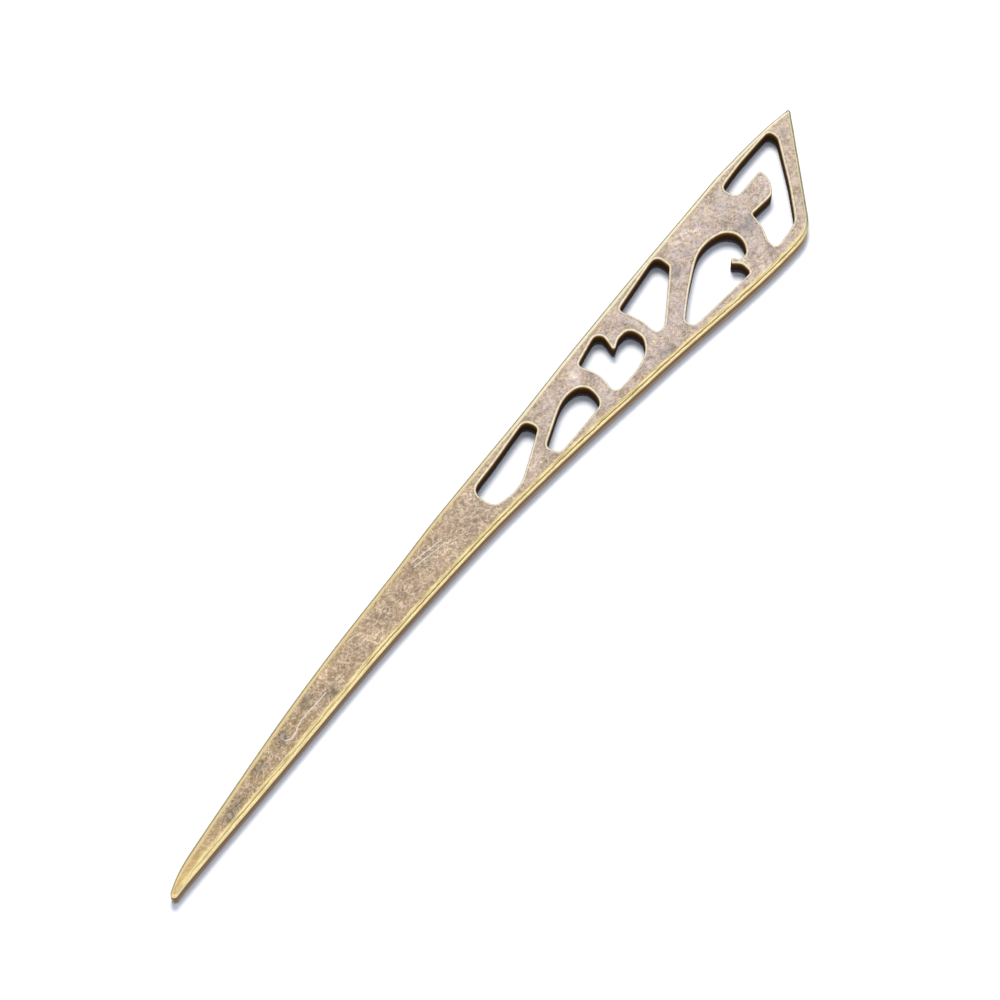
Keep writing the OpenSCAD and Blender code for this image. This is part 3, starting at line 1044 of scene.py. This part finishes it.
# %% Wear
SLANT = 1.5             # how soon an edge counts as the slanted end
SLANT_SLIMMER = 0.35    # how much slimmer the bright band is there
LOWER_WALL = 0.09       # mm by which the wall starts lower on the shank
RAGGED = 0.3            # mm over which a rubbed border wanders
low_shank = zone(-15.0, -45.0)
wall_depth = math_node(nodes, "MULTIPLY_ADD", low_shank, -LOWER_WALL, attribute("depth_mm"))
slanted_side = math_node(nodes, "MULTIPLY", attribute("slanted_side"), SLANT, clamp=True)
far_side = math_node(nodes, "ADD", attribute("straight_side"), slanted_side, clamp=True)
slimmer = math_node(nodes, "MULTIPLY_ADD", slanted_side, -SLANT_SLIMMER, 1.0)
ragged = add(nodes, "ShaderNodeTexNoise", Vector=spot, Scale=2.2, Detail=3.0, Roughness=0.6)
wear_and_shade = group(
    nodes, rubbed_and_shaded,
    Edge_Distance=attribute("edge_mm"),
    Rim_Distance=attribute("rim_mm"),
    Bevel_Width=times(attribute("bevel_mm"), slimmer),
    Depth=wall_depth,
    Raggedness=math_node(nodes, "MULTIPLY_ADD", ragged.outputs[0], RAGGED, -RAGGED / 2),
    Far_Side=far_side,
).outputs
print("wear has", len(wear_and_shade), "masks")

# %% [markdown]
# ## Clouds, pits and lines
# Under a lens the flats are full of small things: brown clouds, rosy spots, dark pits,
# light specks and scratches in several directions; the light specks are painted glints,
# where the grain would catch the light. One noise can't do them all, since each has its
# own size. The two groups are placed once for each of them, and every copy looks at
# another part of the noise, so that no two masks match.

# %% Masks
def elsewhere(x, y):
    """The same spot in another part of the noise."""
    return vector_math(nodes, "ADD", spot, (x, y, 0))


def mottled(x, y, size, low_value, high_value):
    return group(nodes, mottle, Vector=elsewhere(x, y), Size=size, Low=low_value, High=high_value).outputs[0]


def scratched(x, y, length, spacing, angle, thinness):
    return group(nodes, hairlines, Vector=elsewhere(x, y), Length=length, Spacing=spacing, Angle=angle,
                 Thinness=thinness).outputs[0]


patches = mottled(0, 0, 2.2, 0.42, 0.62)
cloudy = mottled(50, 9, 0.7, 0.42, 0.60)
rosy = mottled(12, 70, 0.9, 0.45, 0.62)
# painted glints: light specks where the grain would catch the light
glint_specks = mottled(7, 3, 0.42, 0.48, 0.66)
pits = mottled(31, 0, 0.38, 0.50, 0.66)
flecks = mottled(3, 41, 0.5, 0.60, 0.67)
lines_along = scratched(0, 0, 2.0, 0.40, 0.2, 0.034)
lines = flecks
for more in (
    lines_along,
    scratched(0, 17, 1.7, 0.36, 1.1, 0.034),
    scratched(23, 8, 1.7, 0.40, -0.7, 0.034),
    scratched(9, 33, 7.0, 1.00, 0.5, 0.014),
    scratched(2, 27, 7.0, 1.00, -0.3, 0.014),
):
    lines = math_node(nodes, "MAXIMUM", lines, more)
dark_lines = scratched(61, 5, 1.2, 0.34, 0.6, 0.05)
streaky = group(nodes, streaks, Vector=spot, Edge_Distance=attribute("edge_mm"), Length=2.5,
                Width=0.14).outputs[0]
print("masks made,", len(nodes.nodes), "nodes so far")

# %% [markdown]
# ## Placing the marks
# The marks of the real stick lie on its front face, so their strokes do too. Each
# stroke is one copy of the stroke group, and the strongest stroke at a spot counts,
# as where two scratches cross the metal is bare only once.

# %% Strokes
def strokes(parts):
    """One mask for several strokes, each from a start to an end with a width."""
    mask = 0.0
    for start, end, width in parts:
        one = group(nodes, stroke, Vector=spot, Start=(*start, thickness / MM),
                    End=(*end, thickness / MM), Width=width).outputs[0]
        mask = math_node(nodes, "MAXIMUM", mask, one)
    return mask


marks = strokes([(start, end, width) for path, width in SCRATCHES for start, end in zip(path, path[1:])])
dark_patches = strokes(DARK_PATCHES)
light_patches = strokes(LIGHT_PATCHES)
print("strokes placed,", len(nodes.nodes), "nodes so far")

# %% [markdown]
# ## Layers of the flats
# The real flats are greyer at the head and browner towards the tip, with stains
# over that and bare metal where something scratched through, and light specks that are
# painted glints. The layers are laid in the order in which they came about. Each is a
# colour and a mask, so one can be changed without touching the others.

# %% Tones of the flats
HEAD_FLAT = (0.74, 0.605, 0.56, 1)
SHANK_FLAT = (0.47, 0.305, 0.18, 1)
TIP_FLAT = (0.44, 0.265, 0.11, 1)
PATINA = (0.25, 0.18, 0.125, 1)
CLOUD = (0.41, 0.30, 0.17, 1)
ROSE = (0.56, 0.36, 0.27, 1)
GOLD_HAZE = (0.58, 0.40, 0.17, 1)
PIT = (0.18, 0.125, 0.075, 1)
# the light colour of the painted glints and of bare scratches
GLINT_AND_SCRATCH = (0.96, 0.73, 0.47, 1)
TIP_GOLD = (0.78, 0.51, 0.18, 1)
STAIN = (0.63, 0.66, 0.70)       # what a stain leaves of the colour
RUBBED = (1.32, 1.33, 1.34)      # what rubbing makes of it
print("head", HEAD_FLAT[:3], "shank", SHANK_FLAT[:3], "tip", TIP_FLAT[:3])

# %% [markdown]
# ## Laying one over the other
# Patina on real brass is thin in places and thick in others, so the tone below shows
# through. A sum of colours would grow too bright. A mix by a mask keeps every tone
# between the two that it is made of.

# %% Flats
def blended(base, over, mask):
    """The base colour, with the other one laid over it where the mask says."""
    mix = add(nodes, "ShaderNodeMix", {"data_type": "RGBA", "clamp_factor": True}, A=base, B=over)
    plug(nodes, mix.inputs["Factor"], mask)
    return socket(mix.outputs, "Result")


def tinted(base, tint):
    return vector_math(nodes, "MULTIPLY", base, tint)


haze = times(wear_and_shade["Haze"], math_node(nodes, "MULTIPLY_ADD", far_side, 0.3, 0.3))
colour = blended(SHANK_FLAT, HEAD_FLAT, zone(-18.0, 22.0))
for over, mask in (
    (TIP_FLAT, zone(-22.0, -44.0)),
    (PATINA, times(patches, 0.65)),
    (CLOUD, times(cloudy, 0.4)),
    (ROSE, times(rosy, 0.4)),
    (GOLD_HAZE, haze),
    (PIT, times(pits, 0.5)),
    # painted glints on the grain
    (GLINT_AND_SCRATCH, times(glint_specks, 0.6)),
    (PIT, times(dark_lines, 0.45)),
    (GLINT_AND_SCRATCH, times(lines, 0.75)),
):
    colour = blended(colour, over, mask)
colour = blended(colour, tinted(colour, STAIN), dark_patches)
colour = blended(colour, tinted(colour, RUBBED), light_patches)
colour = blended(colour, TIP_GOLD, times(zone(-54.0, -65.0), 0.8))
print("flats done,", len(nodes.nodes), "nodes so far")

# %% [markdown]
# ## Gold on the edges
# The bevel and the rims of the real stick are bright brass, streaky on the near side.
# The paler gold of the far bevel is a painted reflection, the ridge and the rims carry a
# painted highlight over their gold, and the dark line just inside the ridge is a painted
# dark reflection. They could be thin strips of another material, but their borders are
# ragged. So they are the last layers of the same one, over everything that lies on the
# flats.

# %% Edges
GOLD = (0.97, 0.76, 0.34, 1)
WORN_GOLD = (0.48, 0.335, 0.125, 1)
PALE_GOLD_SHEEN = (1.00, 0.90, 0.63, 1)
SOFT_GOLD = (0.84, 0.63, 0.31, 1)
PAINTED_DARK_LINE = (0.10, 0.065, 0.02, 1)
RIDGE_GOLD_HIGHLIGHT = (0.97, 0.77, 0.37, 1)
OLIVE_SHADE = (0.28, 0.22, 0.09, 1)
RIM_GOLD_HIGHLIGHT = (1.00, 0.85, 0.57, 1)
BARE_METAL = (1.00, 0.89, 0.73, 1)

# the far bevel: gold with a painted reflection that is paler at the head
far_gold_and_sheen = blended(SOFT_GOLD, PALE_GOLD_SHEEN, zone(-12.0, 16.0))
bevel_gold = blended(blended(WORN_GOLD, GOLD, streaky), far_gold_and_sheen, times(far_side, 0.9))
dark_line_strength = math_node(nodes, "MULTIPLY_ADD", zone(-36.0, -14.0), 0.35, 0.45)
dark_line_strength = times(dark_line_strength, zone(-63.0, -57.0))
for over, mask in (
    (bevel_gold, times(wear_and_shade["Bevel"], 0.85)),
    # painted dark reflection in a line just inside the ridge
    (PAINTED_DARK_LINE, times(wear_and_shade["Dark Line"], dark_line_strength)),
    # gold with a painted highlight on the ridge
    (blended(SOFT_GOLD, RIDGE_GOLD_HIGHLIGHT, streaky), times(wear_and_shade["Ridge"], 0.9)),
    # painted dark reflection along the far edge
    (OLIVE_SHADE, times(wear_and_shade["Outline"], 0.9)),
    # painted dark reflection beside each rim
    (PAINTED_DARK_LINE, times(wear_and_shade["Rim Shade"], 0.2)),
    # rubbed gold of the rims with a painted highlight
    (RIM_GOLD_HIGHLIGHT, times(wear_and_shade["Rim"], math_node(nodes, "MULTIPLY_ADD", cloudy, -0.3, 0.95))),
    (BARE_METAL, times(marks, 0.9)),
):
    colour = blended(colour, over, mask)
print("edges done,", len(nodes.nodes), "nodes so far")

# %% [markdown]
# ## Down the walls
# No wheel reached the walls. The outer one is dark brown under the brow; lower down a
# lighter band is a painted reflection of the lit floor, and its foot a painted contact
# shadow. On the shank the painted reflection grows lighter down to the foot. The walls
# of the openings keep the black of the darkening bath, with a faint lighter line near
# the back that is a painted reflection of the floor. Bands made with more masks would
# need a pair of numbers for each tone. A colour ramp over the depth holds all of them
# in one node.

# %% Tones of the walls
# the band at 1.45 mm is a painted reflection of the lit floor, the stop at 1.8 mm a painted contact shadow
OUTER_WALL = [    # mm below the lip, and the tone there
    (0.25, (0.18, 0.10, 0.03, 1)),
    (0.9, (0.22, 0.13, 0.06, 1)),
    (1.45, (0.70, 0.48, 0.32, 1)),
    (1.8, (0.14, 0.095, 0.055, 1)),
]
# lighter towards the foot: a painted reflection of the lit floor on the shank's wall
SHANK_WALL = [
    (0.3, (0.20, 0.115, 0.035, 1)),
    (0.9, (0.22, 0.13, 0.06, 1)),
    (1.5, (0.48, 0.31, 0.18, 1)),
    (2.0, (0.55, 0.40, 0.27, 1)),
]
INNER_WALL = [
    (0.15, (0.30, 0.17, 0.045, 1)),
    (0.4, (0.10, 0.045, 0.008, 1)),
    (0.8, (0.05, 0.018, 0.006, 1)),
    (1.5, (0.028, 0.018, 0.014, 1)),
    # painted reflection of the floor along the back's rounding
    (1.85, (0.09, 0.08, 0.08, 1)),
    (2.1, (0.02, 0.02, 0.02, 1)),
]
DEEPEST = thickness / MM
print("tones down the walls", len(OUTER_WALL), len(SHANK_WALL), len(INNER_WALL))

# %% [markdown]
# ## Ramps over the depth
# The real walls change tone from top to bottom but hardly along their length. A wall
# could be cut into strips of faces with a tone each, and would show steps. The ramp
# reads the depth that the tree stored, and is smooth.

# %% Walls
def down_the_wall(stops):
    """A ramp of tones by depth, whose stops are in mm below the lip."""
    ramp = add(nodes, "ShaderNodeValToRGB", Fac=math_node(nodes, "DIVIDE", attribute("depth_mm"), DEEPEST))
    tones = ramp.color_ramp.elements
    while len(tones) < len(stops):
        tones.new(0.5)
    for element, (depth_here, tone) in zip(tones, stops):
        element.position = depth_here / DEEPEST
        element.color = tone
    return ramp.outputs["Color"]


outer_wall = blended(down_the_wall(OUTER_WALL), down_the_wall(SHANK_WALL), zone(-8.0, -28.0))
colour = blended(colour, outer_wall, wear_and_shade["Wall"])
colour = blended(colour, down_the_wall(INNER_WALL), wear_and_shade["Pierced Wall"])
plug(nodes, shader.inputs["Base Color"], colour)
print("walls done, down to", round(DEEPEST, 2), "mm")

# %% [markdown]
# ## Gloss and relief
# Polished brass mirrors the room softly, stained brass more dully, and the oxide in
# the openings isn't metal at all. A second set of masks for the gloss would drift from
# the colours, so the same ones set it here. The grain and the scratches are far too
# fine for the mesh, and a bump is enough for them.

# %% Gloss
OXIDE = 0.9            # how much of the metal the oxide hides
FLAT_GLOSS = 0.36      # roughness of the clean flats
PATINA_DULLER = 0.1
BEVEL_SMOOTHER = 0.12
WALL_DULLER = 0.2
RELIEF = 0.02 * MM     # height of the grain

plug(nodes, shader.inputs["Metallic"], math_node(nodes, "SUBTRACT", 1.0, times(wear_and_shade["Pierced Wall"], OXIDE)))
dull = math_node(nodes, "MULTIPLY_ADD", patches, PATINA_DULLER, FLAT_GLOSS)
dull = math_node(nodes, "MULTIPLY_ADD", wear_and_shade["Bevel"], -BEVEL_SMOOTHER, dull)
dull = math_node(nodes, "MULTIPLY_ADD", wear_and_shade["Wall"], WALL_DULLER, dull)
plug(nodes, shader.inputs["Roughness"], dull)

grain = add(nodes, "ShaderNodeTexNoise", Vector=spot, Scale=5.0, Detail=3.0, Roughness=0.6)
cuts = math_node(nodes, "MAXIMUM", lines_along, marks)
relief = math_node(nodes, "MULTIPLY_ADD", cuts, -0.5, grain.outputs[0])
bump = add(nodes, "ShaderNodeBump", Strength=1.0, Distance=RELIEF, Height=relief)
plug(nodes, shader.inputs["Normal"], bump.outputs[0])
print("material", brass.name, "has", len(nodes.nodes), "nodes")

# %% [markdown]
# ## Growing the plate
# The stick is one casting, so it has to be one closed mesh. The tree could stay on it
# as a live modifier, but whoever uses the part needs a plain mesh. So the tree is
# run once, its result is copied out and the modifier is taken off. The count of open
# edges shows whether the metal is closed.

# %% Grow
def grown(mesh, tree, inputs, name):
    """An object with the plain mesh that the tree makes from another mesh."""
    source = bpy.data.objects.new(name, mesh)
    bpy.context.scene.collection.objects.link(source)
    modifier = source.modifiers.new(tree.name, "NODES")
    modifier.node_group = tree
    sockets = {item.name: item.identifier for item in tree.interface.items_tree if item.in_out == "INPUT"}
    for title, value in inputs.items():
        modifier[sockets[title]] = value
    evaluated = source.evaluated_get(bpy.context.evaluated_depsgraph_get())
    result = bpy.data.meshes.new_from_object(evaluated)
    source.modifiers.remove(modifier)
    source.data = result
    return source


stick = grown(sheet, plate, {**plate_sizes, "Material": brass}, "hair_stick_blade")
closed = bmesh.new()
closed.from_mesh(stick.data)
open_edges = sum(not edge.is_manifold for edge in closed.edges)
print("triangles", len(closed.calc_loop_triangles()), "open edges", open_edges,
      "volume", round(closed.calc_volume(signed=True) / MM ** 3, 1), "mm3")
closed.free()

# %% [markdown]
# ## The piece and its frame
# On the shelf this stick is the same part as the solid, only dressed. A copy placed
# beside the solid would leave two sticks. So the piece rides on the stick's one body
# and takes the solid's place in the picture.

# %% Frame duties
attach(stick, "root")
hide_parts(NODE)
print(stick.name, "replaces", NODE)

# %% [markdown]
# ## Floor
# The real stick lies on a plain white table. A modelled table with corners would only
# distract, and a plain square whose edge the camera never sees is enough. It lies a
# hair below the back, so that the two surfaces don't flicker into each other.

# %% Floor
FLOOR_HALF = 1.5                 # m
FLOOR_GAP = 0.02 * MM
PAPER = (0.535, 0.555, 0.58, 1)

floor_z = low.z - FLOOR_GAP
corners = [(x * FLOOR_HALF, y * FLOOR_HALF, floor_z) for x, y in ((-1, -1), (1, -1), (1, 1), (-1, 1))]
floor_mesh = bpy.data.meshes.new("floor")
floor_mesh.from_pydata(corners, [], [(0, 1, 2, 3)])
floor = bpy.data.objects.new("floor", floor_mesh)
bpy.context.scene.collection.objects.link(floor)
paper = bpy.data.materials.new("pale_floor")
paper.use_nodes = True
paper_shader = paper.node_tree.nodes["Principled BSDF"]
paper_shader.inputs["Base Color"].default_value = PAPER
paper_shader.inputs["Roughness"].default_value = 0.9
paper_shader.inputs["Specular IOR Level"].default_value = 0.1
floor_mesh.materials.append(paper)
print("floor at", round(floor_z / MM, 3), "mm")

# %% [markdown]
# ## Camera
# The picture shows the stick from half above, and its far end is hardly smaller than
# its near one, so the lens was long and stood well back. A camera could be dragged
# about until it fits, but three numbers say it better: where it stands round the
# stick, how high it looks down from, and how far off it is.

# %% Camera
AZIMUTH = math.radians(303.966)
ELEVATION = math.radians(60.0)
AIM = Vector((-2.124, 2.918, 1.0)) * MM
LENS = 127.7155    # mm
DISTANCE = 0.42    # m
NEAREST = 0.01     # m in front of the camera that it starts to see

towards_camera = Vector((
    math.sin(AZIMUTH) * math.cos(ELEVATION),
    -math.cos(AZIMUTH) * math.cos(ELEVATION),
    math.sin(ELEVATION),
))
camera_data = bpy.data.cameras.new("camera")
camera_data.lens = LENS
camera_data.clip_start = NEAREST
camera = bpy.data.objects.new("camera", camera_data)
camera.location = AIM + towards_camera * DISTANCE
camera.rotation_euler = towards_camera.to_track_quat("Z", "Y").to_euler()
bpy.context.scene.collection.objects.link(camera)
bpy.context.scene.camera = camera
print("camera", [round(x, 3) for x in camera.location], "m, lens", LENS, "mm")

# %% [markdown]
# ## Light tent
# The picture looks as if it was taken in a light tent: white all round, brighter above
# on the right, and dim near the table on that side. A lamp alone would leave the metal
# black, because metal shows what surrounds it. So the tent is the world's colour,
# which changes with direction, and it needs no walls of its own.

# %% Tent
LIE = math.radians(56.03)           # how far the stick is turned in the picture
TENT_WHITE = (0.89, 0.95, 1.07, 1)
TENT_LEVEL = 1.05
DIMMER = 0.7                        # by how much the tent is dim low on the right
BRIGHTER = 0.3                      # by how much it is brighter above that
RIGHT_BAND = (0.1, 0.8)             # how far to the right a direction points
LOW_BAND = (0.12, 0.4)              # how far up it points

bpy.context.scene.view_settings.view_transform = "Standard"
away = Vector((math.sin(LIE), math.cos(LIE), 0))
right = Vector((math.cos(LIE), -math.sin(LIE), 0))
world = bpy.data.worlds.new("tent")
bpy.context.scene.world = world
world.use_nodes = True
tent = world.node_tree
way = add(tent, "ShaderNodeTexCoord").outputs["Generated"]
upward = add(tent, "ShaderNodeSeparateXYZ", Vector=way).outputs["Z"]
on_right = smooth_step(tent, vector_math(tent, "DOT_PRODUCT", way, tuple(right)), *RIGHT_BAND)
low_down = smooth_step(tent, upward, *LOW_BAND, 1.0, 0.0)
dim = math_node(tent, "MULTIPLY", on_right, low_down)
bright = math_node(tent, "MULTIPLY", on_right, math_node(tent, "SUBTRACT", 1.0, low_down))
level = math_node(tent, "MULTIPLY_ADD", dim, -DIMMER, TENT_LEVEL)
level = math_node(tent, "MULTIPLY_ADD", bright, BRIGHTER, level)
plug(tent, tent.nodes["Background"].inputs["Strength"], level)
tent.nodes["Background"].inputs["Color"].default_value = TENT_WHITE
print("tent has", len(tent.nodes), "nodes")

# %% [markdown]
# ## Lamp
# The real stick throws a soft shadow towards the camera, inside the openings too. The
# tent can't do that, since its light comes from all sides. One broad square lamp behind
# and above does, and it is kept out of the reflections, because the tent already is
# all that the metal mirrors.

# %% Lamp
LAMP_SIDE = 0.25                 # m
LAMP_POWER = 7.6                 # W
LAMP_WHITE = (1.02, 0.97, 0.90)
LAMP_DISTANCE = 0.7              # m
LAMP_AWAY = 0.45                 # its direction: how far behind the stick
LAMP_LEFT = 0.04                 # how far to the left
LAMP_UP = 0.92                   # and how far up

lamp_data = bpy.data.lights.new("lamp", "AREA")
lamp_data.size = LAMP_SIDE
lamp_data.energy = LAMP_POWER
lamp_data.color = LAMP_WHITE
lamp = bpy.data.objects.new("lamp", lamp_data)
lamp_way = (away * LAMP_AWAY - right * LAMP_LEFT + Vector((0, 0, LAMP_UP))).normalized()
lamp.location = lamp_way * LAMP_DISTANCE
lamp.rotation_euler = lamp_way.to_track_quat("Z", "Y").to_euler()
lamp.visible_glossy = False
bpy.context.scene.collection.objects.link(lamp)
print("lamp", [round(x, 3) for x in lamp.location], "m")
